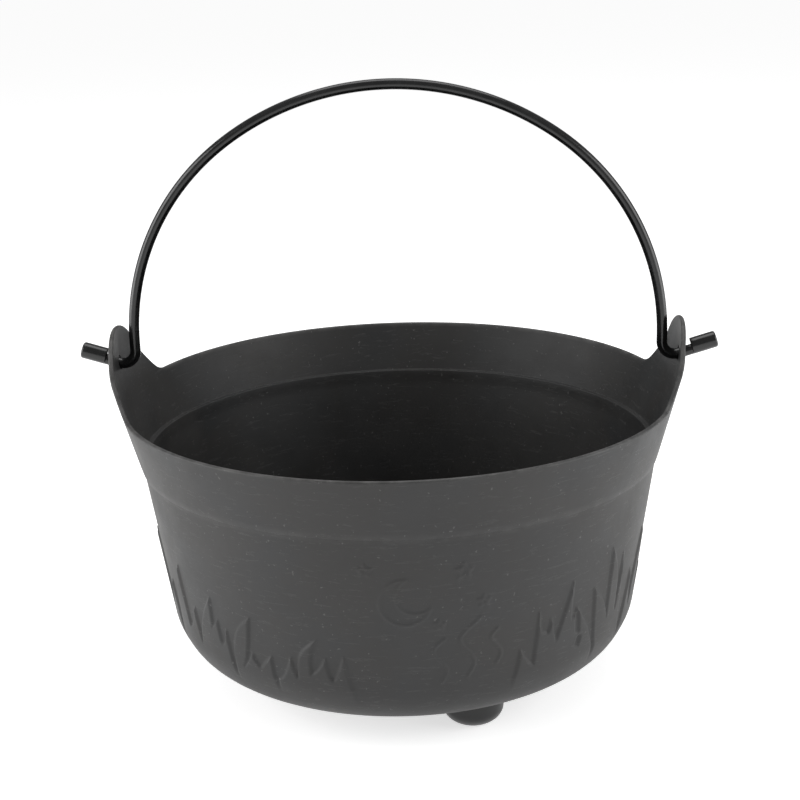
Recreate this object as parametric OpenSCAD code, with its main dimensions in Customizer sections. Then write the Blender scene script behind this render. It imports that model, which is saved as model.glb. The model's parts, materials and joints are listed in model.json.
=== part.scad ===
// Black plastic play cauldron: a tapered tub with two ears, a swinging bail and three feet.
// Millimetres. Origin on the floor under the middle of the tub, +Z up.
// X runs through the two ears, and -Y is the front.

/* [Tub] */
// Outer diameter at the rim
rim_d = 250; // [200:1:300]
// Height of the tub from its underside to the rim
tub_h = 119; // [90:1:150]
// Outer diameter of the collar at its lower edge
collar_d = 235.2; // [190:0.2:285]
// Height of the collar, from the rim down to the outer step
collar_h = 27; // [15:0.5:40]
// How far the wall steps in under the collar
step_in = 0.7; // [0.3:0.1:2]
// Diameter that the tapered wall would have at the underside
base_d = 206; // [170:1:250]
// Radius of the corner between wall and underside
base_round = 24; // [10:0.5:35]
// Thickness of the collar and the ears
collar_t = 2; // [1.5:0.1:3]
// Thickness of the wall below the ledge
wall_t = 2.4; // [1.5:0.1:3.5]
// Thickness of the floor
floor_t = 2.6; // [2:0.1:4]
// Depth of the inner ledge below the rim
ledge_depth = 23.6; // [12:0.2:26]
// Width of the inner ledge
ledge_w = 2.4; // [1:0.1:3.5]
// Height of the upright land under the ledge
land_h = 8; // [2:0.5:15]

/* [Flames] */
// How far the raised flames stand out from the wall
flame_out = 0.9; // [0.4:0.1:1.5]
// Height of the flames' foot above the tub's underside
flame_foot_h = 21; // [18:0.5:23]
// Height over which the flames' foot grows out of the wall
flame_rise_h = 5; // [3:0.5:8]

/* [Ears] */
// Height of an ear above the rim
ear_h = 31.5; // [24:0.5:40]
// Radius of the ear's rounded top
ear_top_r = 29; // [18:0.5:30]
// Lean of the ear's sloping sides from upright, in degrees
ear_side_a = 40; // [20:1:50]
// Radius of the hollow curve between an ear and the rim
ear_root_r = 11; // [4:0.5:16]
// Height above the rim at which an ear starts to turn upright
ear_turn_from = 10; // [4:0.5:14]
// Height over which an ear turns upright
ear_turn_h = 8; // [4:0.5:12]
// Height of the bail's hole above the rim
hole_h = 15; // [12:0.5:20]
// Free space round the bail in its hole
hole_clear = 0.9; // [0.7:0.05:1.2]

/* [Bail] */
// Diameter of the bail's rod
rod_d = 4.8; // [3.5:0.1:6]
// Height of the rod's middle above the hinge line, at the top of the bail
bail_rise = 122.3; // [100:0.5:150]
// Height of the straight legs above the hinge line
leg_h = 9.5; // [7:0.5:20]
// Angle through which a haunch bends before the crown takes over
haunch_a = 54; // [35:1:65]
// Free space between a leg and its ear
leg_gap = 5.1; // [4:0.1:8]
// Radius of the elbow, at the rod's middle
elbow_r = 5.8; // [4:0.1:6]
// Rise of the stub through the ear, in degrees
stub_a = 17; // [5:1:25]
// Length of stub outside the ear, up to the head
neck_l = 4.2; // [2:0.1:6]
// Diameter of the head that keeps the stub in its hole
head_d = 7.5; // [7:0.1:9]
// Length of the head
head_l = 11.6; // [6:0.1:15]
// Rounding of the head's end
head_round = 1; // [0.3:0.1:2]

/* [Feet] */
// Height of a foot below the tub
foot_h = 15; // [9:0.5:20]
// Diameter of a foot
foot_d = 27; // [18:0.5:32]
// Diameter of the flat that a foot stands on
foot_flat_d = 6; // [4:0.5:12]
// Height of the foot's rounded bowl
bowl_h = 8; // [4:0.5:9]
// Distance of the feet from the middle of the tub
foot_circle_r = 70.5; // [55:0.5:72]
// Turn of the front foot from straight ahead towards +X, in degrees
foot_a = 27; // [0:1:60]
// Diameter of the foot's stem
stem_d = 7.8; // [5:0.1:10]
// Free space round the stem in the floor
stem_clear = 0.1; // [0.05:0.05:0.3]
// How far the snap head stands out past the hole
snap_out = 1; // [0.5:0.1:2]
// Height of the snap head above the floor
snap_h = 3; // [2:0.1:5]

/* [Hidden] */
$fn = 96;
arc_steps = 12;
over = 5;

rim_r = rim_d/2;
rim_z = foot_h + tub_h;
step_z = rim_z - collar_h;
ledge_z = rim_z - ledge_depth;
hinge_z = rim_z + hole_h;
floor_z = foot_h + floor_t;
rod_r = rod_d/2;
hole_r = rod_r + hole_clear;
head_r = head_d/2;
stem_r = stem_d/2;

// Points of a round stretch about c, from angle a0 to a1
function arc(c, r, a0, a1, n = arc_steps) =
    [for (i = [0:n]) let (a = a0 + (a1 - a0)*i/n) c + r*[cos(a), sin(a)]];

function reversed(points) = [for (i = [len(points) - 1:-1:0]) points[i]];

// Lean of the lower wall from upright, and its outer radius at a height
step_r = collar_d/2 - step_in;
wall_lean = atan((step_r - base_d/2)/(step_z - foot_h));
function wall_r(z) = base_d/2 + (z - foot_h)*tan(wall_lean);

// Corner between the underside at z and a wall that meets it at radius r
function corner(r, z, round) =
    arc([r - round/tan(45 + wall_lean/2), z + round], round, -90, -wall_lean);

// Outer radius of the collar and, above the rim, of the ears
collar_lean = atan((rim_r - collar_d/2)/collar_h);
ear_turn_r = ear_turn_h/sin(collar_lean);
ear_turn_z = rim_z + ear_turn_from;
ear_turn_x = rim_r + ear_turn_from*tan(collar_lean);
ear_r = ear_turn_x + ear_turn_r*(1 - cos(collar_lean));
function collar_r(z) = rim_r + (z - rim_z)*tan(collar_lean);
ear_turn = arc([ear_r - ear_turn_r, ear_turn_z + ear_turn_h], ear_turn_r, -collar_lean, 0, 6);
function flare_r(z) = let (s = (ear_turn_z + ear_turn_h - z)/ear_turn_r)
    z < ear_turn_z ? collar_r(z) : s < 0 ? ear_r : ear_r - ear_turn_r*(1 - sqrt(1 - s*s));

inner_wall_t = wall_t/cos(wall_lean);
corner_in_r = wall_r(floor_z) - inner_wall_t;
ledge_r = collar_r(ledge_z) - collar_t - ledge_w;
land_z = ledge_z - land_h;

// Section of the tub, with the collar carried up to the height of the ears
function tub_section() = concat(
    [[0, foot_h]],
    corner(base_d/2, foot_h, base_round),
    [[step_r, step_z], [collar_d/2, step_z]],
    ear_turn,
    [[ear_r, rim_z + ear_h + over], [ear_r - collar_t, rim_z + ear_h + over]],
    [for (p = reversed(ear_turn)) p - [collar_t, 0]],
    [[ledge_r + ledge_w, ledge_z], [ledge_r, ledge_z]],
    [[wall_r(land_z) - inner_wall_t, land_z]],
    reversed(corner(corner_in_r, floor_z, base_round - floor_t)),
    [[0, floor_z]]
);

// Groups of flames on the front half, which the back half repeats. A group gives the turn of its
// start from the front towards +X, then its flames. A flame gives the turn and height of its tip,
// how its left and right sides curve, and the turn and height of the notch on its right. Heights
// are above the underside. A side's curve is 1 when straight, less when hollow, more when full.
FLAME_GROUPS = [
    [-91, [[-87, 52, 0.6, 0.6, -84.5, 27], [-81, 40, 0.6, 0.6, -78.5, 25],
        [-73.5, 66, 1.6, 0.6, -72, 30], [-67, 45, 0.6, 0.6, -65.5, 21]]],
    [-64.7, [[-58.5, 58, 1.8, 0.6, -58, 29], [-53.5, 41, 0.6, 0.6, -52.5, 25],
        [-45.5, 51, 1.6, 0.5, -46.3, 36.5], [-44, 41, 1, 0.3, -43.4, 30], [-41.3, 38, 0.6, 0.6, -40.6, 21]]],
    [-39.8, [[-33.2, 48, 3, 0.66, -36.9, 23], [-34, 30.5, 0.8, 0.6, -31.7, 25],
        [-28.5, 31.5, 1.2, 0.3, -27.9, 21]]],
    [-27.2, [[-23.3, 33.5, 0.6, 0.6, -22, 24], [-16.6, 43.5, 3, 3, -18.6, 27],
        [-15, 35, 0.6, 0.4, -13.4, 25], [-10.8, 36.5, 0.8, 0.6, -9, 21]]],
    [27.5, [[28.8, 33.5, 0.6, 0.7, 32.4, 25], [33, 49.5, 1, 0.25, 35.4, 38.5],
        [36.4, 45, 0.3, 1, 38.2, 33.5], [42, 59, 0.9, 0.5, 42.6, 41], [44, 45.5, 0.3, 1.4, 51.2, 21]]],
    [52, [[49.5, 51, 0.8, 1.6, 56, 33], [55.2, 66, 1, 2.5, 60, 34], [61, 60, 0.6, 0.8, 64, 21]]],
    [65, [[68, 47, 0.6, 0.7, 70.5, 28], [74.5, 62, 1.4, 0.6, 76, 29],
        [80, 44, 0.6, 0.6, 82, 28], [86, 57, 0.7, 0.7, 88.5, 21]]]
];
flame_foot_z = foot_h + flame_foot_h;
flame_steps = 4;

// Points of one side of a flame as [turn, height], from its notch up to just below its tip
function flame_side(notch, tip, curve) = [
    for (i = [0:flame_steps - 1]) let (s = i/flame_steps)
        [notch[0] + (tip[0] - notch[0])*pow(s, curve), notch[1] + (tip[1] - notch[1])*s]
];

// Outline of a group as [turn, height], from its start to its last notch
function flame_line(start, flames) = [
    for (i = [0:len(flames) - 1])
        let (f = flames[i], tip = [f[0], f[1]], right = [f[4], f[5]],
            left = i == 0 ? [start, flame_foot_h] : [flames[i - 1][4], flames[i - 1][5]])
            each concat(flame_side(left, tip, f[2]), [tip], reversed(flame_side(right, tip, f[3])))
];

// A group's outline laid flat against the wall, and pushed through it from outside
module flame_group(start, flames) {
    middle = (start + flames[len(flames) - 1][4])/2;
    rotate([90, 0, middle])
        linear_extrude(rim_r)
            polygon([
                for (p = flame_line(start, flames)) let (z = foot_h + p[1])
                    [wall_r(z)*sin(p[0] - middle), z]
            ]);
}

// Thin shell in which all flames lie, from inside the wall to their raised face
module flame_shell() {
    top_z = step_z - over;
    grown_z = flame_foot_z + flame_rise_h;
    rotate_extrude()
        polygon([
            [wall_r(flame_foot_z) - wall_t/2, flame_foot_z],
            [wall_r(flame_foot_z), flame_foot_z],
            [wall_r(grown_z) + flame_out, grown_z],
            [wall_r(top_z) + flame_out, top_z],
            [wall_r(top_z) - wall_t/2, top_z]
        ]);
}

module flames() {
    intersection() {
        flame_shell();
        for (half = [0, 180], group = FLAME_GROUPS)
            rotate(half)
                flame_group(group[0], group[1]);
    }
}

// Outline of one ear from the side: a round top, straight sides and hollow roots
ear_round_z = ear_h - ear_top_r;
ear_tan = [ear_top_r*cos(ear_side_a), ear_round_z + ear_top_r*sin(ear_side_a)];
ear_foot_y = ear_tan[0] + ear_tan[1]*tan(ear_side_a);
ear_root_l = ear_root_r*tan(45 - ear_side_a/2);
ear_root_y = ear_foot_y + ear_root_l;
function ear_half() = concat(
    arc([0, ear_round_z], ear_top_r, 90, ear_side_a),
    arc([ear_root_y, ear_root_r], ear_root_r, 180 + ear_side_a, 270)
);

module ear_outline() {
    half = ear_half();
    polygon(concat(half, [for (i = [len(half) - 1:-1:1]) [-half[i][0], half[i][1]]]));
}

// Places a flat outline, drawn as Y and height above the rim, across the whole tub
module across_tub() {
    translate([0, 0, rim_z])
        rotate([90, 0, 90])
            linear_extrude(2*ear_r + 2*over, center = true)
                children();
}

// Places a child at each foot's centre
module at_foot(i) {
    rotate(foot_a + 120*i)
        translate([0, -foot_circle_r, 0])
            children();
}

module tub() {
    color("#2a2a29")
        difference() {
            union() {
                rotate_extrude()
                    polygon(tub_section());
                flames();
            }
            across_tub()
                difference() {
                    translate([-ear_r - over, 0])
                        square([2*(ear_r + over), ear_h + 2*over]);
                    ear_outline();
                }
            translate([0, 0, hinge_z])
                rotate([0, 90, 0])
                    cylinder(h = 2*(ear_r + over), r = hole_r, center = true);
            for (i = [0:2])
                at_foot(i)
                    translate([0, 0, foot_h - over])
                        cylinder(h = floor_t + 2*over, r = stem_r + stem_clear);
        }
}

// The bail's middle line: half span, arch radii and elbow, measured from the hinge line
pivot_x = flare_r(hinge_z) - collar_t/2;
half_span = flare_r(hinge_z) - collar_t - leg_gap - rod_r;
arch_rise = bail_rise - leg_h;
centres_apart = (half_span - arch_rise)/(sin(haunch_a) + cos(haunch_a) - 1);
haunch_r = half_span - centres_apart*cos(haunch_a);
crown_r = arch_rise + centres_apart*sin(haunch_a);
crown_z = bail_rise - crown_r;
elbow_x = half_span + elbow_r;
elbow_z = (elbow_r - (pivot_x - elbow_x)*sin(stub_a))/cos(stub_a);
stub_from = (elbow_x + elbow_r*sin(stub_a) - pivot_x)/cos(stub_a);
stub_l = (collar_t/2 + neck_l)/cos(stub_a);

// Each bend is a hair thicker than the straight bars, whose ends lie inside it
lip = 0.06;
lap = 0.4;
bend_r = rod_r + lip;

// A round bar bent about (x, z), from angle a0 to a1 in the plane of the bail
module bent_bar(x, z, r, a0, a1, bar_r) {
    translate([x, 0, z])
        rotate([90, 0, 0])
            rotate(a0)
                rotate_extrude(angle = a1 - a0)
                    translate([r, 0])
                        circle(bar_r, $fn = 48);
}

module bar(z0, z1) {
    translate([0, 0, z0])
        cylinder(h = z1 - z0, r = rod_r, $fn = 48);
}

module crown() {
    a = haunch_a - lap/crown_r*180/PI;
    bent_bar(0, crown_z, crown_r, a, 180 - a, rod_r);
}

module bail_side() {
    bent_bar(half_span - haunch_r, leg_h, haunch_r, 0, haunch_a, bend_r);
    translate([half_span, 0, 0])
        bar(elbow_z - lap, leg_h + lap);
    bent_bar(elbow_x, elbow_z, elbow_r, 180, 270 + stub_a, bend_r);
    translate([pivot_x, 0, 0])
        rotate([0, 90 - stub_a, 0]) {
            bar(stub_from - lap, stub_l + lap);
            translate([bend_r - head_r, 0, stub_l])
                head();
        }
}

// The head's underside is level with the stub, and only its top stands out as a barb
module head() {
    rotate_extrude($fn = 48)
        polygon(concat(
            [[0, 0], [head_r, 0]],
            arc([head_r - head_round, head_l - head_round], head_round, 0, 90, 5),
            [[0, head_l]]
        ));
}

module bail() {
    color("#0b0b0d")
        translate([0, 0, hinge_z]) {
            crown();
            bail_side();
            mirror([1, 0, 0])
                bail_side();
        }
}

// Half section of a foot: bowl, side, stem and snap head
function bowl_point(a) = let (k = foot_d/2 - foot_flat_d/2)
    [foot_flat_d/2 + k*sin(a), bowl_h*(1 - cos(a))];
module foot() {
    rotate_extrude()
        polygon(concat(
            [[0, 0]],
            [for (i = [0:arc_steps]) bowl_point(90*i/arc_steps)],
            [[foot_d/2, foot_h], [stem_r, foot_h], [stem_r, floor_z]],
            [[stem_r + snap_out, floor_z], [stem_r - snap_out/2, floor_z + snap_h]],
            [[0, floor_z + snap_h]]
        ));
}

module foot_front() {
    color("#101011")
        at_foot(0)
            foot();
}

module foot_rear() {
    color("#101011")
        at_foot(1)
            foot();
}

module foot_left() {
    color("#101011")
        at_foot(2)
            foot();
}

tub();
bail();
foot_front();
foot_rear();
foot_left();
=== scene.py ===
"""Looks of a black plastic play cauldron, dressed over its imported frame. Lengths are in metres."""

import json
import math

import bmesh
import bpy
import numpy as np
from mathutils import Matrix, Vector


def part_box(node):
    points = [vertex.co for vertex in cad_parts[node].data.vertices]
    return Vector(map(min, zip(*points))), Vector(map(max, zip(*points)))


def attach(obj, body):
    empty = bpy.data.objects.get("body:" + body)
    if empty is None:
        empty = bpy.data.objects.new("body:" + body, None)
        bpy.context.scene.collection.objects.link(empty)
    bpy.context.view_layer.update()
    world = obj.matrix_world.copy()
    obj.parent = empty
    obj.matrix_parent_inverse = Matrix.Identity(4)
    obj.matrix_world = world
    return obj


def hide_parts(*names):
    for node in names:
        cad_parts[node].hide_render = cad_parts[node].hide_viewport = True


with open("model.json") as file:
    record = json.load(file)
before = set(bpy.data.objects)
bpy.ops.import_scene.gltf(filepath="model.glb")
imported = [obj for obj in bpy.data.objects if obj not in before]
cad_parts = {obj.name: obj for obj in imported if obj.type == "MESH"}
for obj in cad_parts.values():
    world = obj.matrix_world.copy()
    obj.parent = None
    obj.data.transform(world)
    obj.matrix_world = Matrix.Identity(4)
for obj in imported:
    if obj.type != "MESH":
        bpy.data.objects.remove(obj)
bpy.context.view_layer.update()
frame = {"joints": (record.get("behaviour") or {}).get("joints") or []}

MM = 0.001

# Tub, from the frame and then by its own sizes
TUB_LOW, TUB_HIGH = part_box("tub")
RIM_R = TUB_HIGH.y
EAR_R = TUB_HIGH.x
BASE_Z = TUB_LOW.z
EAR_H = 31.5 * MM
RIM_Z = TUB_HIGH.z - EAR_H
HINGE_Z = frame["joints"][0]["pos_m"][2]
COLLAR_H = 27 * MM
COLLAR_R = 117.6 * MM
STEP_IN = 0.7 * MM
STEP_Z = RIM_Z - COLLAR_H
BASE_R = 103 * MM
BASE_ROUND = 24 * MM
COLLAR_T = 2 * MM
WALL_T = 2.4 * MM
FLOOR_T = 2.6 * MM
LEDGE_Z = RIM_Z - 23.6 * MM
LEDGE_W = 2.4 * MM
LAND_H = 8 * MM
LIP_ROUND = 0.85 * MM
EDGE_ROUND = 0.3 * MM

# Ears
EAR_TOP_R = 29 * MM
EAR_SIDE_A = math.radians(40)
EAR_ROOT_R = 11 * MM
EAR_TURN_FROM = 10 * MM
EAR_TURN_H = 8 * MM
EAR_FROM_Z = RIM_Z - 12 * MM
EAR_EDGE_H = 2 * MM
HOLE_R = 3.3 * MM
DRILL_L = 2.2 * EAR_R

# Bail, measured from the hinge line
ROD_R = 2.4 * MM
HALF_SPAN = 119.25 * MM
BAIL_RISE = 122.3 * MM
LEG_H = 9.5 * MM
HAUNCH_A = math.radians(54)
ELBOW_R = 5.8 * MM
STUB_A = math.radians(17)
NECK_L = 4.2 * MM
HEAD_R = 3.75 * MM
HEAD_L = 11.6 * MM
HEAD_ROUND = 1.1 * MM
HEAD_SHOULDER = 0.4 * MM

# Feet
FEET = ("foot_front", "foot_rear", "foot_left")
FOOT_R = 13.5 * MM
FOOT_FLAT_R = 3 * MM
FOOT_BOWL_H = 8 * MM
STEM_R = 3.9 * MM
SNAP_OUT = 1 * MM
SNAP_H = 3 * MM

# Raised flames. Heights are in millimetres above the underside.
FLAME_OUT = 0.9 * MM
FLAME_FOOT_H = 21
FLAME_SOFT = 0.85
# Their foot fades into the wall from this height on, and their outlines start this far below it
FLAME_FADE_FROM = 13
FLAME_FADE_H = 10
FLAME_SKIRT_H = 12
# No flame reaches past these heights, nor this many degrees past the ends of its group
FLAME_BAND = (5, 75)
FLAME_SIDE_TURN = 6
# The groups of the front half, which the back half repeats. A group gives the turn of its start
# from the front towards +X, in degrees, then its flames. A flame gives the turn and height of its
# tip, how its left and right sides curve, and the turn and height of the notch on its right.
FLAME_GROUPS = (
    (-91, ((-87, 52, 0.6, 0.6, -84.5, 27), (-81, 40, 0.6, 0.6, -78.5, 25),
           (-73.5, 66, 1.6, 0.6, -72, 30), (-67, 45, 0.6, 0.6, -65.5, 21))),
    (-64.7, ((-58.5, 58, 1.8, 0.6, -58, 29), (-53.5, 41, 0.6, 0.6, -52.5, 25),
             (-45.5, 51, 1.6, 0.5, -46.3, 36.5), (-44, 41, 1, 0.3, -43.4, 30),
             (-41.3, 38, 0.6, 0.6, -40.6, 21))),
    (-39.8, ((-33.2, 48, 3, 0.66, -36.9, 23), (-34, 30.5, 0.8, 0.6, -31.7, 25),
             (-28.5, 31.5, 1.2, 0.3, -27.9, 21))),
    (-27.2, ((-23.3, 33.5, 0.6, 0.6, -22, 24), (-16.6, 43.5, 3, 3, -18.6, 27),
             (-15, 35, 0.6, 0.4, -13.4, 25), (-10.8, 36.5, 0.8, 0.6, -9, 21))),
    (27.5, ((28.8, 33.5, 0.6, 0.7, 32.4, 25), (33, 49.5, 1, 0.25, 35.4, 38.5),
            (36.4, 45, 0.3, 1, 38.2, 33.5), (42, 59, 0.9, 0.5, 42.6, 41),
            (44, 45.5, 0.3, 1.4, 51.2, 21))),
    (52, ((49.5, 51, 0.8, 1.6, 56, 33), (55.2, 66, 1, 2.5, 60, 34), (61, 60, 0.6, 0.8, 64, 21))),
    (65, ((68, 47, 0.6, 0.7, 70.5, 28), (74.5, 62, 1.4, 0.6, 76, 29),
          (80, 44, 0.6, 0.6, 82, 28), (86, 57, 0.7, 0.7, 88.5, 21))),
)
# Slots through the flames: turn and height of both ends, and half width in millimetres
FLAME_SLOTS = ((44.1, 42.5, 44.9, 34, 1.1), (45.6, 30, 45.2, 27, 1.2))

# Thin raised lines on the bare middle of the front, around this turn and within these bounds
MOTIF_TURN = 9
MOTIF_HALF_TURN = 22
MOTIF_BAND = (15, 90)
RIDGE_OUT = 0.4 * MM
RIDGE_HALF = 1.17

# Part of the outer wall that can carry relief, and how near to it a point counts as lying on it
RELIEF_LOW_Z = BASE_Z + 8 * MM
RELIEF_TOP_Z = STEP_Z - 1 * MM
WALL_NEAR = 0.6 * WALL_T

# Painted highlight on the edges: how far it reaches from the rim and from the step, and its strength at the
# step
RIM_HIGHLIGHT_H = 1.2 * MM
STEP_HIGHLIGHT_H = 0.7 * MM
STEP_HIGHLIGHT_SHARE = 0.5

# Mesh fineness: columns round the tub, heights of its rows, and steps of round stretches
COLUMNS = 300
WALL_ROW = 2.2 * MM
COLLAR_ROW = 3 * MM
EAR_ROW = 1 * MM
LAND_ROW = 2.5 * MM
INNER_ROW = 5 * MM
FLOOR_RINGS = (0, 24, 48, 68)
CORNER_STEPS = 14
INNER_CORNER_STEPS = 10
LIP_STEPS = 5
EDGE_STEPS = 3
ROD_SIDES = 36
HEAD_SIDES = 40
FOOT_SIDES = 64
HOLE_SIDES = 40
# Faces this near to an edge of the relief, in millimetres, are cut finer. Thin lines need less.
FINE_CUTS = 3
FINE_REACH = 2.6
RIDGE_NEARER = 0.8

# How much the floor glows to the camera and in reflections, and the even light on the object
FLOOR_GLOW = 0.62
WORLD_LIGHT = 0.38

# Camera: place, turn from +Y towards +X, tilt down, and roll, for a frame 800 pixels wide
CAMERA_AT = (0.0347, -0.6990, 0.3418)
CAMERA_TURN = math.radians(-2.777)
CAMERA_DOWN = math.radians(16.935)
CAMERA_ROLL = math.radians(-1.732)
FOCAL_PIXELS = 1600
PHOTO_WIDTH = 800
SENSOR = 36


def link(name, mesh):
    made = bpy.data.objects.new(name, mesh)
    bpy.context.scene.collection.objects.link(made)
    return made


def finish_mesh(name, bm, sharp=math.radians(38)):
    """Makes an object of a bmesh, smooth but for its sharp edges."""
    mesh = bpy.data.meshes.new(name)
    bm.to_mesh(mesh)
    bm.free()
    mesh.shade_smooth()
    mesh.set_sharp_from_angle(angle=sharp)
    return link(name, mesh)


def arc(centre, radius, start, end, count):
    """Points of a round stretch, from angle start to end in degrees."""
    turns = [math.radians(start + (end - start) * i / count) for i in range(count + 1)]
    return [(centre[0] + radius * math.cos(t), centre[1] + radius * math.sin(t)) for t in turns]


def steps_between(low, high, step):
    """Values from low to high, both left out, about one step apart."""
    count = max(2, round(abs(high - low) / step))
    return [low + (high - low) * i / count for i in range(1, count)]


def section_chain(bm, points):
    """Vertices and edges of a half section drawn as (radius, height)."""
    verts = [bm.verts.new((r, 0, z)) for r, z in points]
    edges = [bm.edges.new(pair) for pair in zip(verts, verts[1:])]
    return verts + edges


def spun(points, steps, centre=(0, 0, 0)):
    """A closed solid of revolution about Z through centre."""
    bm = bmesh.new()
    geom = section_chain(bm, points)
    bmesh.ops.spin(bm, geom=geom, cent=(0, 0, 0), axis=(0, 0, 1), angle=math.tau, steps=steps, use_merge=True)
    bmesh.ops.remove_doubles(bm, verts=bm.verts, dist=0.01 * MM)
    bmesh.ops.recalc_face_normals(bm, faces=bm.faces)
    bmesh.ops.translate(bm, vec=centre, verts=bm.verts)
    return bm


# The tub's surfaces of revolution
WALL_LEAN = math.atan((COLLAR_R - STEP_IN - BASE_R) / (STEP_Z - BASE_Z))
COLLAR_LEAN = math.atan((RIM_R - COLLAR_R) / COLLAR_H)
EAR_TURN_R = EAR_TURN_H / math.sin(COLLAR_LEAN)
EAR_TURN_Z = RIM_Z + EAR_TURN_FROM


def wall_r(z):
    return BASE_R + (z - BASE_Z) * math.tan(WALL_LEAN)


def collar_r(z):
    return RIM_R + (z - RIM_Z) * math.tan(COLLAR_LEAN)


def flare_r(z):
    """Outer radius of the collar and, above the rim, of the ears as they turn upright."""
    if z < EAR_TURN_Z:
        return collar_r(z)
    share = (EAR_TURN_Z + EAR_TURN_H - z) / EAR_TURN_R
    return EAR_R if share < 0 else EAR_R - EAR_TURN_R * (1 - math.sqrt(1 - share * share))


def ear_rise(y):
    """Height of the ear above the rim at a distance y from its middle."""
    y = abs(y)
    round_z = EAR_H - EAR_TOP_R
    tan_y, tan_z = EAR_TOP_R * math.cos(EAR_SIDE_A), round_z + EAR_TOP_R * math.sin(EAR_SIDE_A)
    root_y = tan_y + tan_z * math.tan(EAR_SIDE_A) + EAR_ROOT_R * math.tan(math.pi / 4 - EAR_SIDE_A / 2)
    if y < tan_y:
        return round_z + math.sqrt(EAR_TOP_R ** 2 - y * y)
    if y < root_y - EAR_ROOT_R * math.cos(EAR_SIDE_A):
        return tan_z - (y - tan_y) / math.tan(EAR_SIDE_A)
    if y < root_y:
        return EAR_ROOT_R - math.sqrt(EAR_ROOT_R ** 2 - (root_y - y) ** 2)
    return 0.0


def corner(r, z, radius, count):
    """Round corner between a level face at z and a wall that would meet it at radius r."""
    lean = math.degrees(WALL_LEAN)
    centre = (r - radius / math.tan(math.pi / 4 + WALL_LEAN / 2), z + radius)
    return arc(centre, radius, -90, -lean, count)


def tub_section():
    """Half section of the tub, from the middle of its underside out, up, over the rim and back in."""
    outer_corner = corner(BASE_R, BASE_Z, BASE_ROUND, CORNER_STEPS)
    floor_z = BASE_Z + FLOOR_T
    inner_t = WALL_T / math.cos(WALL_LEAN)
    inner_corner = corner(wall_r(floor_z) - inner_t, floor_z, BASE_ROUND - FLOOR_T, INNER_CORNER_STEPS)
    land_z = LEDGE_Z - LAND_H
    ledge_r = collar_r(LEDGE_Z) - COLLAR_T - LEDGE_W
    lean = math.degrees(COLLAR_LEAN)
    edge_z = RIM_Z - EAR_EDGE_H
    lip_z = RIM_Z - LIP_ROUND

    points = [(r * MM, BASE_Z) for r in FLOOR_RINGS] + outer_corner
    points += [(wall_r(z), z) for z in steps_between(outer_corner[-1][1], STEP_Z - EDGE_ROUND, WALL_ROW)]
    points += [(wall_r(STEP_Z - EDGE_ROUND), STEP_Z - EDGE_ROUND), (wall_r(STEP_Z), STEP_Z)]
    points += arc((COLLAR_R - EDGE_ROUND, STEP_Z + EDGE_ROUND), EDGE_ROUND, -90, -lean, EDGE_STEPS)
    points += [(collar_r(z), z) for z in steps_between(STEP_Z + EDGE_ROUND, EAR_FROM_Z, COLLAR_ROW)]
    points += [(collar_r(z), z)
               for z in [EAR_FROM_Z] + steps_between(EAR_FROM_Z, edge_z, EAR_ROW) + [edge_z]]
    points += arc((collar_r(lip_z) - LIP_ROUND, lip_z), LIP_ROUND, -lean, 90, LIP_STEPS)
    points += arc((collar_r(lip_z) - COLLAR_T + LIP_ROUND, lip_z), LIP_ROUND, 90, 180 - lean, LIP_STEPS)
    points += [(collar_r(z) - COLLAR_T, z)
               for z in [edge_z] + steps_between(edge_z, EAR_FROM_Z, EAR_ROW) + [EAR_FROM_Z]]
    fillet_z = LEDGE_Z + EDGE_ROUND
    points += [(collar_r(z) - COLLAR_T, z) for z in steps_between(EAR_FROM_Z, fillet_z, COLLAR_ROW)]
    points += arc((collar_r(fillet_z) - COLLAR_T - EDGE_ROUND, fillet_z), EDGE_ROUND, 0, -90, EDGE_STEPS)
    points += arc((ledge_r + EDGE_ROUND, LEDGE_Z - EDGE_ROUND), EDGE_ROUND, 90, 180, EDGE_STEPS)
    points += [(ledge_r, z) for z in steps_between(LEDGE_Z - EDGE_ROUND, land_z, LAND_ROW)]
    points += [(wall_r(z) - inner_t, z)
               for z in [land_z] + steps_between(land_z, inner_corner[-1][1], INNER_ROW)]
    points += inner_corner[::-1] + [(r * MM, floor_z) for r in FLOOR_RINGS[::-1]]
    return points


def raise_ears(bm):
    """Draws the collar above EAR_FROM_Z up into the two ears."""
    edge_z = RIM_Z - EAR_EDGE_H
    for v in bm.verts:
        x, y, z = v.co
        if z < EAR_FROM_Z - 0.01 * MM:
            continue
        r = math.hypot(x, y)
        if r < BASE_R:
            continue
        side = y / r
        rise = ear_rise(side * RIM_R)
        for _ in range(3):
            rise = ear_rise(side * flare_r(RIM_Z + rise))
        if rise == 0:
            continue
        if z > edge_z:
            new_z = z + rise
        else:
            new_z = EAR_FROM_Z + (z - EAR_FROM_Z) * (edge_z + rise - EAR_FROM_Z) / (edge_z - EAR_FROM_Z)
        new_r = flare_r(new_z) + r - collar_r(z)
        v.co = (x / r * new_r, y / r * new_r, new_z)


def drill_ears(tub):
    """Cuts the hole for the bail through both ears."""
    bm = bmesh.new()
    bmesh.ops.create_cone(
        bm, cap_ends=True, segments=HOLE_SIDES, radius1=HOLE_R, radius2=HOLE_R, depth=DRILL_L)
    bmesh.ops.rotate(bm, verts=bm.verts, matrix=Matrix.Rotation(math.pi / 2, 3, "Y"))
    bmesh.ops.translate(bm, verts=bm.verts, vec=(0, 0, HINGE_Z))
    drill = finish_mesh("drill", bm)
    cut = tub.modifiers.new("holes", "BOOLEAN")
    cut.object = drill
    cut.operation = "DIFFERENCE"
    cut.solver = "EXACT"
    bpy.context.view_layer.update()
    shown = tub.evaluated_get(bpy.context.evaluated_depsgraph_get())
    mesh = bpy.data.meshes.new_from_object(shown)
    tub.modifiers.clear()
    tub.data = mesh
    bpy.data.objects.remove(drill)


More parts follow.
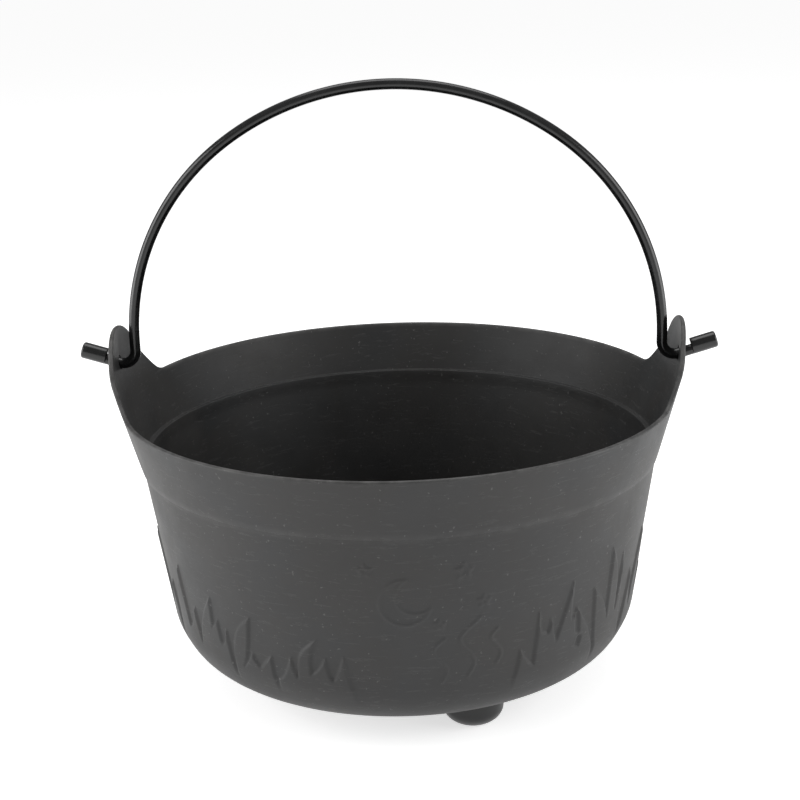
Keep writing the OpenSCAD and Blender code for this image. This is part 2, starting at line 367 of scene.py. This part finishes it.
def flame_side(notch, tip, curve, steps=12):
    """Points of one side of a flame, from its notch to just below its tip."""
    shares = [i / steps for i in range(steps)]
    return [(notch[0] + (tip[0] - notch[0]) * s ** curve, notch[1] + (tip[1] - notch[1]) * s)
            for s in shares]


def flame_outline(start, flames):
    """Closed outline of a group of flames as (turn, height)."""
    left = (start, FLAME_FOOT_H)
    points = []
    for tip_turn, tip_h, left_curve, right_curve, notch_turn, notch_h in flames:
        tip, right = (tip_turn, tip_h), (notch_turn, notch_h)
        points += flame_side(left, tip, left_curve) + [tip] + flame_side(right, tip, right_curve)[::-1]
        left = right
    skirt_h = FLAME_FOOT_H - FLAME_SKIRT_H
    return np.array(points + [(left[0], skirt_h), (start, skirt_h)])


def on_wall(turns_heights):
    """Turns and heights as millimetres along the wall and up it."""
    turn, height = np.asarray(turns_heights, float).T
    radius = (BASE_R / MM) + height * math.tan(WALL_LEAN)
    return np.stack([np.radians(turn) * radius, height], -1)


def line_distance(points, line, closed=False):
    """Least distance from each point to a line through the given points."""
    a = line if closed else line[:-1]
    b = np.roll(line, -1, 0) if closed else line[1:]
    span = b - a
    best = np.full(len(points), np.inf)
    for start, way in zip(a, span):
        along = np.clip(((points - start) @ way) / max(way @ way, 1e-12), 0, 1)
        best = np.minimum(best, np.hypot(*(points - start - along[:, None] * way).T))
    return best


def inside(points, line):
    """Whether each point lies inside a closed outline."""
    x, y = points.T
    hit = np.zeros(len(points), bool)
    for (x0, y0), (x1, y1) in zip(line, np.roll(line, -1, 0)):
        if y0 == y1:
            continue
        crosses = (y0 > y) != (y1 > y)
        hit ^= crosses & (x < x0 + (y - y0) * (x1 - x0) / (y1 - y0))
    return hit


def star(turn, height, size, points=5, inner=0.42):
    """Outline of a small star around a turn and height, in millimetres along and up the wall."""
    centre = on_wall([(turn, height)])[0]
    angles = [math.pi / 2 + math.pi * i / points for i in range(2 * points + 1)]
    reach = [size * (inner if i % 2 else 1) for i in range(2 * points + 1)]
    return np.array([centre + [r * math.cos(a), r * math.sin(a)] for r, a in zip(reach, angles)])


def crescent(turn, height, size, cut=0.8, shift=0.5, count=28):
    """Outline of a crescent moon, open to the upper right."""
    centre = on_wall([(turn, height)])[0]
    # The two circles cross where both outlines meet
    cross = math.acos((1 + shift ** 2 - cut ** 2) / (2 * shift))
    inner_cross = math.atan2(math.sin(cross), math.cos(cross) - shift)
    lean = math.radians(35)
    outer = np.linspace(cross, math.tau - cross, count)
    inner = np.linspace(math.tau - inner_cross, inner_cross, count)
    line = [(math.cos(a), math.sin(a)) for a in outer]
    line += [(shift + cut * math.cos(a), cut * math.sin(a)) for a in inner]
    turned = [(x * math.cos(lean) - y * math.sin(lean), x * math.sin(lean) + y * math.cos(lean))
              for x, y in line]
    return centre + size * np.array(turned + turned[:1])


def wisp(turn, low, high, sway, waves, count=30):
    """A line that curls upwards like steam."""
    shares = np.linspace(0, 1, count)
    turns = turn + sway * (0.4 + 0.6 * shares) * np.sin(waves * math.pi * shares)
    return on_wall(np.stack([turns, low + (high - low) * shares], -1))


def motif_lines():
    """Moon, stars and steam on the bare middle of the front."""
    t = MOTIF_TURN
    return [
        crescent(t - 6, 63, 10.5),
        star(t + 6, 76, 3.6), star(t + 10.5, 61, 2.6), star(t - 14, 78, 2.6), star(t + 1, 52, 2.2),
        wisp(t + 1.5, 24, 45, 2.2, 2.1), wisp(t + 7.5, 26, 54, 2.6, 2.4), wisp(t + 14, 30, 47, 1.8, 2.0),
    ]


def smooth_step(x):
    x = np.clip(x, 0, 1)
    return x * x * (3 - 2 * x)


def wall_places(co):
    """Turn from the front towards +X, in degrees, and height above the underside in millimetres."""
    turn = np.degrees(np.arctan2(co[:, 0], -co[:, 1]))
    return turn, (co[:, 2] - BASE_Z) / MM


def flame_depth(turn, height):
    """Signed distance inside the flames, in millimetres; negative outside."""
    depth = np.full(len(turn), -1e3)
    for half in (0, 180):
        local = (turn - half + 180) % 360 - 180
        for start, flames in FLAME_GROUPS:
            end = flames[-1][4]
            near = (local > start - FLAME_SIDE_TURN) & (local < end + FLAME_SIDE_TURN)
            near &= (height > FLAME_BAND[0]) & (height < FLAME_BAND[1])
            if not near.any():
                continue
            points = on_wall(np.stack([local[near], height[near]], -1))
            outline = on_wall(flame_outline(start, flames))
            gap = line_distance(points, outline, closed=True)
            signed = np.where(inside(points, outline), gap, -gap)
            for turn0, h0, turn1, h1, half_w in FLAME_SLOTS:
                slot = on_wall([(turn0, h0), (turn1, h1)])
                signed = np.minimum(signed, line_distance(points, slot) - half_w)
            depth[near] = np.maximum(depth[near], signed)
    return depth


def ridge_gap(turn, height):
    """Distance to the nearest thin raised line, in millimetres."""
    gap = np.full(len(turn), 1e3)
    near = np.abs(turn - MOTIF_TURN) < MOTIF_HALF_TURN
    near &= (height > MOTIF_BAND[0]) & (height < MOTIF_BAND[1])
    points = on_wall(np.stack([turn[near], height[near]], -1))
    for line in motif_lines():
        gap[near] = np.minimum(gap[near], line_distance(points, line))
    return gap


def on_outer_wall(co):
    """Which points lie on the outer wall between the corner and the step."""
    r = np.hypot(co[:, 0], co[:, 1])
    z = co[:, 2]
    wall = BASE_R + (z - BASE_Z) * math.tan(WALL_LEAN)
    return (np.abs(r - wall) < WALL_NEAR) & (z > RELIEF_LOW_Z) & (z < RELIEF_TOP_Z)


def refine_relief(bm):
    """Cuts the faces that the relief's edges cross into finer ones."""
    bm.faces.ensure_lookup_table()
    centres = np.array([f.calc_center_median() for f in bm.faces])
    normals = np.array([f.normal for f in bm.faces])
    turn, height = wall_places(centres)
    outer = (centres[:, :2] * normals[:, :2]).sum(1) > 0
    reach = np.minimum(np.abs(flame_depth(turn, height)), ridge_gap(turn, height) + RIDGE_NEARER)
    chosen = np.flatnonzero(outer & on_outer_wall(centres) & (reach < FINE_REACH))
    edges = {e for i in chosen for e in bm.faces[i].edges}
    bmesh.ops.subdivide_edges(bm, edges=list(edges), cuts=FINE_CUTS, use_grid_fill=True)


def raise_relief(mesh):
    """Pushes the flames and thin lines out of the wall."""
    count = len(mesh.vertices)
    co = np.empty(count * 3, np.float32)
    mesh.vertices.foreach_get("co", co)
    co = co.reshape(-1, 3).astype(float)
    normal = np.empty(count * 3, np.float32)
    mesh.vertices.foreach_get("normal", normal)
    normal = normal.reshape(-1, 3)
    turn, height = wall_places(co)
    radial = co[:, :2] / np.maximum(np.hypot(co[:, 0], co[:, 1]), 1e-9)[:, None]
    outward = (normal[:, :2] * radial).sum(1) > 0.1
    on = outward & on_outer_wall(co)
    foot = smooth_step((height - FLAME_FADE_FROM) / FLAME_FADE_H)
    flames = smooth_step(flame_depth(turn, height) / (2 * FLAME_SOFT) + 0.5) * foot
    ridges = smooth_step(1 - ridge_gap(turn, height) / RIDGE_HALF)
    push = np.where(on, np.maximum(FLAME_OUT * flames, RIDGE_OUT * ridges), 0)
    co[:, :2] += radial * push[:, None]
    mesh.vertices.foreach_set("co", co.astype(np.float32).ravel())


def mark_edge_highlight(mesh):
    """Writes how near each vertex is to the rim and ear edges and to the step, for the painted highlight
    there.
    """
    wear = mesh.attributes.new("wear", "FLOAT", "POINT")
    values = []
    for v in mesh.vertices:
        r = math.hypot(v.co.x, v.co.y)
        z = v.co.z
        value = 0.0
        if r > BASE_R:
            top = RIM_Z + ear_rise(v.co.y if abs(v.co.x) > abs(v.co.y) else RIM_R)
            # Painted highlight along the top edge of the rim and the ears
            value = max(value, 1 - (top - z) / RIM_HIGHLIGHT_H)
            # Weaker painted highlight along the outer step
            value = max(value, STEP_HIGHLIGHT_SHARE * (1 - abs(z - STEP_Z) / STEP_HIGHLIGHT_H))
        values.append(min(1.0, max(0.0, value)))
    wear.data.foreach_set("value", values)


def make_tub(material):
    bm = spun(tub_section(), COLUMNS)
    raise_ears(bm)
    tub = finish_mesh("tub_moulding", bm)
    drill_ears(tub)
    bm = bmesh.new()
    bm.from_mesh(tub.data)
    bm.normal_update()
    refine_relief(bm)
    bm.to_mesh(tub.data)
    bm.free()
    raise_relief(tub.data)
    mark_edge_highlight(tub.data)
    tub.data.shade_smooth()
    tub.data.set_sharp_from_angle(angle=math.radians(40))
    tub.data.materials.clear()
    tub.data.materials.append(material)
    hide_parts("tub")
    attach(tub, "tub")
    return tub


def ring_of(geom):
    """The vertices and edges among what an operator made."""
    return [g for g in geom if isinstance(g, (bmesh.types.BMVert, bmesh.types.BMEdge))]


def bend(bm, ring, centre, turn, steps):
    """Carries a ring of the rod round a centre in the plane of the bail."""
    made = bmesh.ops.spin(
        bm, geom=ring, cent=(centre[0], 0, centre[1]), axis=(0, 1, 0), angle=turn, steps=steps)
    return ring_of(made["geom_last"])


def draw_out(bm, ring, way):
    """Carries a ring of the rod straight on."""
    edges = [g for g in ring if isinstance(g, bmesh.types.BMEdge)]
    made = bmesh.ops.extrude_edge_only(bm, edges=edges)
    verts = [g for g in made["geom"] if isinstance(g, bmesh.types.BMVert)]
    bmesh.ops.translate(bm, vec=way, verts=verts)
    return verts + [e for e in made["geom"] if isinstance(e, bmesh.types.BMEdge)
                    and all(v in verts for v in e.verts)]


def bail_head(pivot_x, stub_l):
    """Mesh of the right-hand head. Its underside is level with the stub."""
    points = [(0, 0), (HEAD_R - HEAD_SHOULDER, 0)]
    points += arc((HEAD_R - HEAD_SHOULDER, HEAD_SHOULDER), HEAD_SHOULDER, -60, 0, 3)
    points += arc((HEAD_R - HEAD_ROUND, HEAD_L - HEAD_ROUND), HEAD_ROUND, 0, 90, 6) + [(0, HEAD_L)]
    bm = spun(points, HEAD_SIDES)
    bmesh.ops.translate(bm, verts=bm.verts, vec=(ROD_R - HEAD_R, 0, stub_l))
    bmesh.ops.rotate(bm, verts=bm.verts, matrix=Matrix.Rotation(math.pi / 2 - STUB_A, 3, "Y"))
    bmesh.ops.translate(bm, verts=bm.verts, vec=(pivot_x, 0, 0))
    mesh = bpy.data.meshes.new("head")
    bm.to_mesh(mesh)
    bm.free()
    return mesh


def make_bail(material):
    """The rod from the top of the arch to the right-hand head, then its mirror image."""
    rise = BAIL_RISE - LEG_H
    apart = (HALF_SPAN - rise) / (math.sin(HAUNCH_A) + math.cos(HAUNCH_A) - 1)
    haunch_r = HALF_SPAN - apart * math.cos(HAUNCH_A)
    crown_r = rise + apart * math.sin(HAUNCH_A)
    pivot_x = flare_r(HINGE_Z) - COLLAR_T / 2
    elbow_x = HALF_SPAN + ELBOW_R
    elbow_z = (ELBOW_R - (pivot_x - elbow_x) * math.sin(STUB_A)) / math.cos(STUB_A)
    stub_from = (elbow_x + ELBOW_R * math.sin(STUB_A) - pivot_x) / math.cos(STUB_A)
    stub_l = (COLLAR_T / 2 + NECK_L) / math.cos(STUB_A)
    stub_way = Vector((math.cos(STUB_A), 0, math.sin(STUB_A)))

    bm = bmesh.new()
    bmesh.ops.create_circle(bm, segments=ROD_SIDES, radius=ROD_R)
    bmesh.ops.rotate(bm, verts=bm.verts, matrix=Matrix.Rotation(math.pi / 2, 3, "Y"))
    bmesh.ops.translate(bm, verts=bm.verts, vec=(0, 0, BAIL_RISE))
    ring = list(bm.verts) + list(bm.edges)
    ring = bend(bm, ring, (0, BAIL_RISE - crown_r), math.pi / 2 - HAUNCH_A, 30)
    ring = bend(bm, ring, (HALF_SPAN - haunch_r, LEG_H), HAUNCH_A, 36)
    ring = draw_out(bm, ring, (0, 0, elbow_z - LEG_H))
    ring = bend(bm, ring, (elbow_x, elbow_z), -(math.pi / 2 + STUB_A), 16)
    draw_out(bm, ring, stub_way * (stub_l - stub_from + MM))

    head = bail_head(pivot_x, stub_l)
    bm.from_mesh(head)
    bpy.data.meshes.remove(head)

    geom = list(bm.verts) + list(bm.edges) + list(bm.faces)
    bmesh.ops.mirror(bm, geom=geom, matrix=Matrix.Identity(4), merge_dist=0.01 * MM, axis="X")
    bmesh.ops.holes_fill(bm, edges=[e for e in bm.edges if e.is_boundary], sides=0)
    bmesh.ops.recalc_face_normals(bm, faces=bm.faces)
    bmesh.ops.translate(bm, verts=bm.verts, vec=(0, 0, HINGE_Z))
    bail = finish_mesh("bail_moulding", bm)
    bail.data.materials.append(material)
    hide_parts("bail")
    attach(bail, "bail")
    return bail


def foot_section():
    """Half section of a foot: bowl, side, stem and snap head."""
    reach = FOOT_R - FOOT_FLAT_R
    floor_z = BASE_Z + FLOOR_T
    turns = [math.pi / 2 * i / 20 for i in range(21)]
    points = [(0, 0)] + [(FOOT_FLAT_R + reach * math.sin(t), FOOT_BOWL_H * (1 - math.cos(t))) for t in turns]
    points += [(FOOT_R, BASE_Z - 0.4 * MM)]
    points += arc((FOOT_R - 0.4 * MM, BASE_Z - 0.4 * MM), 0.4 * MM, 0, 90, 3)
    points += [(STEM_R, BASE_Z), (STEM_R, floor_z), (STEM_R + SNAP_OUT, floor_z)]
    points += [(STEM_R - SNAP_OUT / 2, floor_z + SNAP_H - 0.3 * MM), (STEM_R - SNAP_OUT, floor_z + SNAP_H)]
    return points + [(0, floor_z + SNAP_H)]


def make_foot(name, material):
    low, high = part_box(name)
    middle = (low + high) / 2
    foot = finish_mesh(name + "_moulding", spun(foot_section(), FOOT_SIDES, (middle.x, middle.y, 0)))
    foot.data.materials.append(material)
    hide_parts(name)
    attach(foot, "tub")
    return foot


class Wire:
    """A socket of a material. Python arithmetic on it adds Math nodes."""

    def __init__(self, tree, socket=None):
        self.tree = tree
        self.socket = socket

    def node(self, kind, settings=None, inputs=None, out=0):
        """Adds a node: its settings come first, then the values or links of its sockets."""
        made = self.tree.nodes.new(kind)
        for name, value in (settings or {}).items():
            if name == "stops":
                ramp = made.color_ramp
                while len(ramp.elements) < len(value):
                    ramp.elements.new(0.5)
                for element, (place, level) in zip(ramp.elements, value):
                    element.position = place
                    element.color = (level, level, level, 1)
            else:
                setattr(made, name, value)
        for name, value in (inputs or {}).items():
            if isinstance(value, Wire):
                self.tree.links.new(value.socket, made.inputs[name])
            else:
                made.inputs[name].default_value = value
        return Wire(self.tree, made.outputs[out])

    def maths(self, operation, first, second):
        return self.node("ShaderNodeMath", {"operation": operation}, {0: first, 1: second})

    def __add__(self, other):
        return self.maths("ADD", self, other)

    __radd__ = __add__

    def __sub__(self, other):
        return self.maths("SUBTRACT", self, other)

    def __mul__(self, other):
        return self.maths("MULTIPLY", self, other)

    __rmul__ = __mul__

    def most(self, other):
        return self.maths("MAXIMUM", self, other)

    def mix(self, low, high):
        """A colour between low and high, by this value."""
        return self.node("ShaderNodeMix", {"data_type": "RGBA"}, {0: self, 6: low, 7: high}, out=2)

    def steps(self, stops):
        """This value put through a ramp of (place, level) stops."""
        return self.node("ShaderNodeValToRGB", {"stops": stops}, {0: self})


def grey(level, warm=0.0):
    return (level * (1 + warm), level, level * (1 - warm), 1)


def new_material(name):
    """A material, its shader node and a wire to add nodes with."""
    material = bpy.data.materials.new(name)
    material.use_nodes = True
    tree = material.node_tree
    return material, tree.nodes["Principled BSDF"], Wire(tree)


def noise_of(wire, coords, scale, detail=2.0, roughness=0.5, distortion=0.0):
    return wire.node("ShaderNodeTexNoise", None, {
        "Vector": coords, "Scale": scale, "Detail": detail, "Roughness": roughness, "Distortion": distortion})


def plug(wire, shader, sockets):
    """Links or sets sockets of a material's shader."""
    for name, value in sockets.items():
        if isinstance(value, Wire):
            wire.tree.links.new(value.socket, shader.inputs[name])
        else:
            shader.inputs[name].default_value = value


def tub_material():
    """Matt black plastic: mottled, dusty and scuffed, with a painted highlight along its rim, ear edges and
    step.
    """
    material, shader, wire = new_material("matt_black_plastic")
    coords = wire.node("ShaderNodeTexCoord", out="Object")
    patches = noise_of(wire, coords, 38, 5, 0.62).steps([(0.36, 0), (0.66, 1)])
    clouds = noise_of(wire, coords, 11, 3, 0.55).steps([(0.35, 0), (0.7, 1)])
    grain = noise_of(wire, coords, 420, 3, 0.6)
    hue = noise_of(wire, coords, 24, 2, 0.5).steps([(0.42, 0), (0.58, 1)])
    specks = noise_of(wire, coords, 650, 1, 0.4).steps([(0.735, 0), (0.77, 1)])
    long_coords = wire.node("ShaderNodeMapping", None, {
        "Vector": coords, "Rotation": (0.3, 0.2, 0.7), "Scale": (1, 1, 7)})
    streaks = noise_of(wire, long_coords, 95, 4, 0.7, 0.6)
    scratches = streaks.steps([(0.60, 0), (0.64, 1), (0.655, 0.2), (0.72, 0)])
    # Painted highlight along the rim, the ear edges and the step, broken into nicks by noise
    wear = wire.node("ShaderNodeAttribute", {"attribute_name": "wear"}, out="Fac")
    nicked_highlight = wear * noise_of(wire, coords, 160, 3, 0.6).steps([(0.38, 0.25), (0.62, 1)])

    base = hue.mix(grey(0.0115, 0.06), grey(0.0115, -0.07))
    dusty = (patches * 0.35 + clouds * 0.45).mix(base, grey(0.026, 0.03))
    scuffed = (scratches * 0.22 + specks * 0.5).mix(dusty, grey(0.11, 0.02))
    # Paints the pale highlight over the scuffed colour
    colour = (nicked_highlight * 0.55).mix(scuffed, grey(0.12, 0.02))
    rough = 0.47 + 0.09 * patches + 0.05 * grain + 0.06 * clouds
    uneven = noise_of(wire, coords, 75, 2, 0.5)
    height = grain * 0.35 + uneven * 2.2 - scratches * 0.4
    bump = wire.node("ShaderNodeBump", None, {"Strength": 0.55, "Distance": 0.00012, "Height": height})
    plug(wire, shader, {"Base Color": colour, "Roughness": rough, "Normal": bump, "IOR": 1.49})
    return material


def bail_material():
    """Glossy black plastic rod with fine rub marks."""
    material, shader, wire = new_material("gloss_black_plastic")
    coords = wire.node("ShaderNodeTexCoord", out="Object")
    rubs = noise_of(wire, coords, 240, 4, 0.6).steps([(0.45, 0), (0.7, 1)])
    patches = noise_of(wire, coords, 45, 3, 0.5).steps([(0.4, 0), (0.65, 1)])
    colour = (rubs * 0.5 + patches * 0.3).mix(grey(0.0035, -0.04), grey(0.009, -0.03))
    bump = wire.node("ShaderNodeBump", None, {
        "Strength": 0.35, "Distance": 0.0001, "Height": noise_of(wire, coords, 160, 2, 0.5)})
    plug(wire, shader, {"Base Color": colour, "Roughness": 0.15 + 0.1 * patches + 0.08 * rubs, "Normal": bump,
                        "IOR": 1.5})
    return material


def foot_material():
    """Half-glossy black plastic of the feet."""
    material, shader, wire = new_material("satin_black_plastic")
    coords = wire.node("ShaderNodeTexCoord", out="Object")
    patches = noise_of(wire, coords, 120, 4, 0.6).steps([(0.4, 0), (0.68, 1)])
    grain = noise_of(wire, coords, 500, 2, 0.5)
    colour = (patches * 0.5).mix(grey(0.004, -0.05), grey(0.012, -0.05))
    bump = wire.node("ShaderNodeBump", None, {"Strength": 0.4, "Distance": 0.00008, "Height": grain})
    plug(wire, shader, {"Base Color": colour, "Roughness": 0.33 + 0.1 * patches, "Normal": bump, "IOR": 1.49})
    return material


def floor_material():
    """White floor that looks white to the camera and still takes the object's shadow."""
    material, shader, wire = new_material("white_floor")
    path = wire.tree.nodes.new("ShaderNodeLightPath")
    seen = Wire(wire.tree, path.outputs["Is Camera Ray"]).most(Wire(wire.tree, path.outputs["Is Glossy Ray"]))
    plug(wire, shader, {"Base Color": (0.9, 0.9, 0.9, 1), "Roughness": 0.9, "Specular IOR Level": 0.0,
                        "Emission Color": (1, 1, 1, 1), "Emission Strength": seen * FLOOR_GLOW})
    return material


def make_floor():
    bm = bmesh.new()
    bmesh.ops.create_circle(bm, cap_ends=True, segments=96, radius=30)
    floor = finish_mesh("floor", bm)
    floor.data.materials.append(floor_material())


def make_world():
    """White seen behind the floor, and a plain even light on the object."""
    world = bpy.data.worlds.new("studio")
    bpy.context.scene.world = world
    world.use_nodes = True
    wire = Wire(world.node_tree)
    path = world.node_tree.nodes.new("ShaderNodeLightPath")
    seen = Wire(world.node_tree, path.outputs["Is Camera Ray"])
    shader = world.node_tree.nodes["Background"]
    plug(wire, shader, {"Color": (1, 1, 1, 1), "Strength": WORLD_LIGHT + (1 - WORLD_LIGHT) * seen})


def soft_box(name, at, aim, width, height, power):
    light = bpy.data.lights.new(name, "AREA")
    light.shape = "RECTANGLE"
    light.size = width
    light.size_y = height
    light.energy = power
    lamp = link(name, light)
    lamp.location = at
    lamp.rotation_euler = (Vector(aim) - Vector(at)).to_track_quat("-Z", "Y").to_euler()


def make_lights():
    middle = (0, 0, 0.12)
    soft_box("left_box", (-1.15, -0.35, 0.42), middle, 0.9, 1.1, 13)
    soft_box("right_box", (1.15, -0.30, 0.42), middle, 0.9, 1.1, 11)
    soft_box("top_box", (0, 0.25, 1.5), middle, 1.2, 0.9, 9)


def make_camera():
    data = bpy.data.cameras.new("camera")
    data.sensor_fit = "HORIZONTAL"
    data.sensor_width = SENSOR
    data.lens = SENSOR * FOCAL_PIXELS / PHOTO_WIDTH
    data.clip_start = 0.01
    data.clip_end = 100
    camera = link("camera", data)
    forward = Vector((math.sin(CAMERA_TURN) * math.cos(CAMERA_DOWN),
                      math.cos(CAMERA_TURN) * math.cos(CAMERA_DOWN), -math.sin(CAMERA_DOWN)))
    level = Vector((math.cos(CAMERA_TURN), -math.sin(CAMERA_TURN), 0))
    up = level.cross(forward)
    right = level * math.cos(CAMERA_ROLL) + up * math.sin(CAMERA_ROLL)
    top = up * math.cos(CAMERA_ROLL) - level * math.sin(CAMERA_ROLL)
    turn = Matrix((right, top, -forward)).transposed()
    camera.matrix_world = Matrix.Translation(CAMERA_AT) @ turn.to_4x4()
    bpy.context.scene.camera = camera


make_camera()
make_world()
make_lights()
make_floor()
make_tub(tub_material())
make_bail(bail_material())
satin = foot_material()
for foot_name in FEET:
    make_foot(foot_name, satin)

bpy.context.scene.view_settings.view_transform = "Standard"
